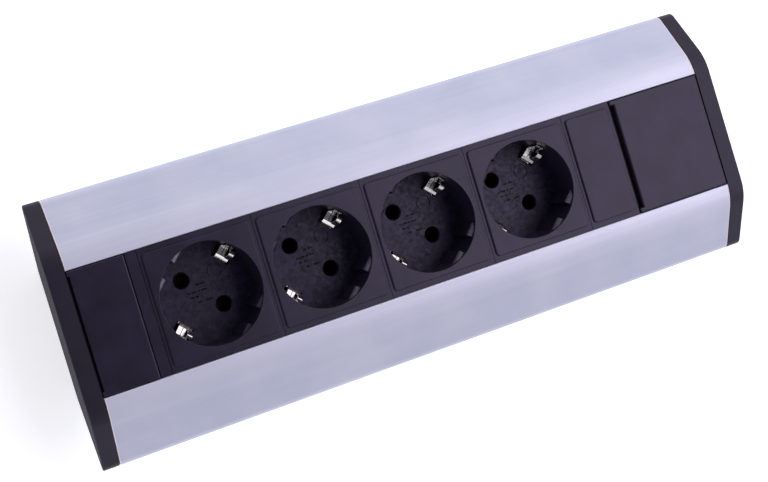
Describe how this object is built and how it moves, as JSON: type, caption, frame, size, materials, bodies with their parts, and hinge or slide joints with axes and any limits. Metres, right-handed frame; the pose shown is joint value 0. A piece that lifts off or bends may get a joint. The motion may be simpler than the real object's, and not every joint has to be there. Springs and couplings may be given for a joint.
{
  "type": "corner power strip",
  "caption": "Corner power strip: metal profile with two mounting faces at a right angle, a row of earthed round-pin sockets with diagonal pins, and lift-off end covers.",
  "frame": {"origin": "middle of the strip's length and width, on the plane of its narrow flat back", "axes": "+X along the strip towards the cable end, +Z out of the front face with the sockets, +Y across the strip, up in the picture"},
  "size_m": [0.286, 0.103, 0.043],
  "materials": {
    "anodised_aluminium": "clear anodised, satin, fine lines along the extrusion",
    "black_plastic": "moulded, fine spark-eroded texture, slightly glossy",
    "cap_plastic": "moulded, fine texture",
    "dark_plastic": "moulded, plain",
    "rubber": "moulded, dull",
    "contact_steel": "sheet, bright nickel plated, stamped and bent",
    "brass": "sheet, stamped, bright",
    "screw_steel": "zinc plated, crossed recess"
  },
  "bodies": {
    "housing": {"blank_module": "black_plastic", "cable_grommet": "rubber", "earth_busbar": "brass", "earth_rivet": "brass", "housing_earth_spring": "contact_steel", "housing_profile": "anodised_aluminium", "left_cap_screws": "screw_steel", "left_carrier": "dark_plastic", "left_end_cap": "cap_plastic", "line_busbar": "brass", "neutral_busbar": "brass", "right_cap_screws": "screw_steel", "right_carrier": "dark_plastic", "right_end_cap": "cap_plastic", "socket_1_base": "dark_plastic", "socket_1_earth_bracket": "contact_steel", "socket_1_front": "black_plastic", "socket_1_line_contact": "brass", "socket_1_neutral_contact": "brass", "socket_1_screws": "screw_steel", "socket_2_base": "dark_plastic", "socket_2_earth_bracket": "contact_steel", "socket_2_front": "black_plastic", "socket_2_line_contact": "brass", "socket_2_neutral_contact": "brass", "socket_2_screws": "screw_steel", "socket_3_base": "dark_plastic", "socket_3_earth_bracket": "contact_steel", "socket_3_front": "black_plastic", "socket_3_line_contact": "brass", "socket_3_neutral_contact": "brass", "socket_3_screws": "screw_steel", "socket_4_base": "dark_plastic", "socket_4_earth_bracket": "contact_steel", "socket_4_front": "black_plastic", "socket_4_line_contact": "brass", "socket_4_neutral_contact": "brass", "socket_4_screws": "screw_steel", "spacer_strip": "black_plastic", "terminal_block": "dark_plastic", "terminal_clamps": "brass", "terminal_screws": "screw_steel"},
    "left_cover": {"left_cover": "black_plastic"},
    "right_cover": {"right_cover": "black_plastic"}
  },
  "joints": [
    {"name": "left_cover_lift", "type": "slide", "parent": "housing", "child": "left_cover", "axis": [0, 0, 1], "range_m": [0, 0.025]},
    {"name": "right_cover_lift", "type": "slide", "parent": "housing", "child": "right_cover", "axis": [0, 0, 1], "range_m": [0, 0.025]}
  ]
}
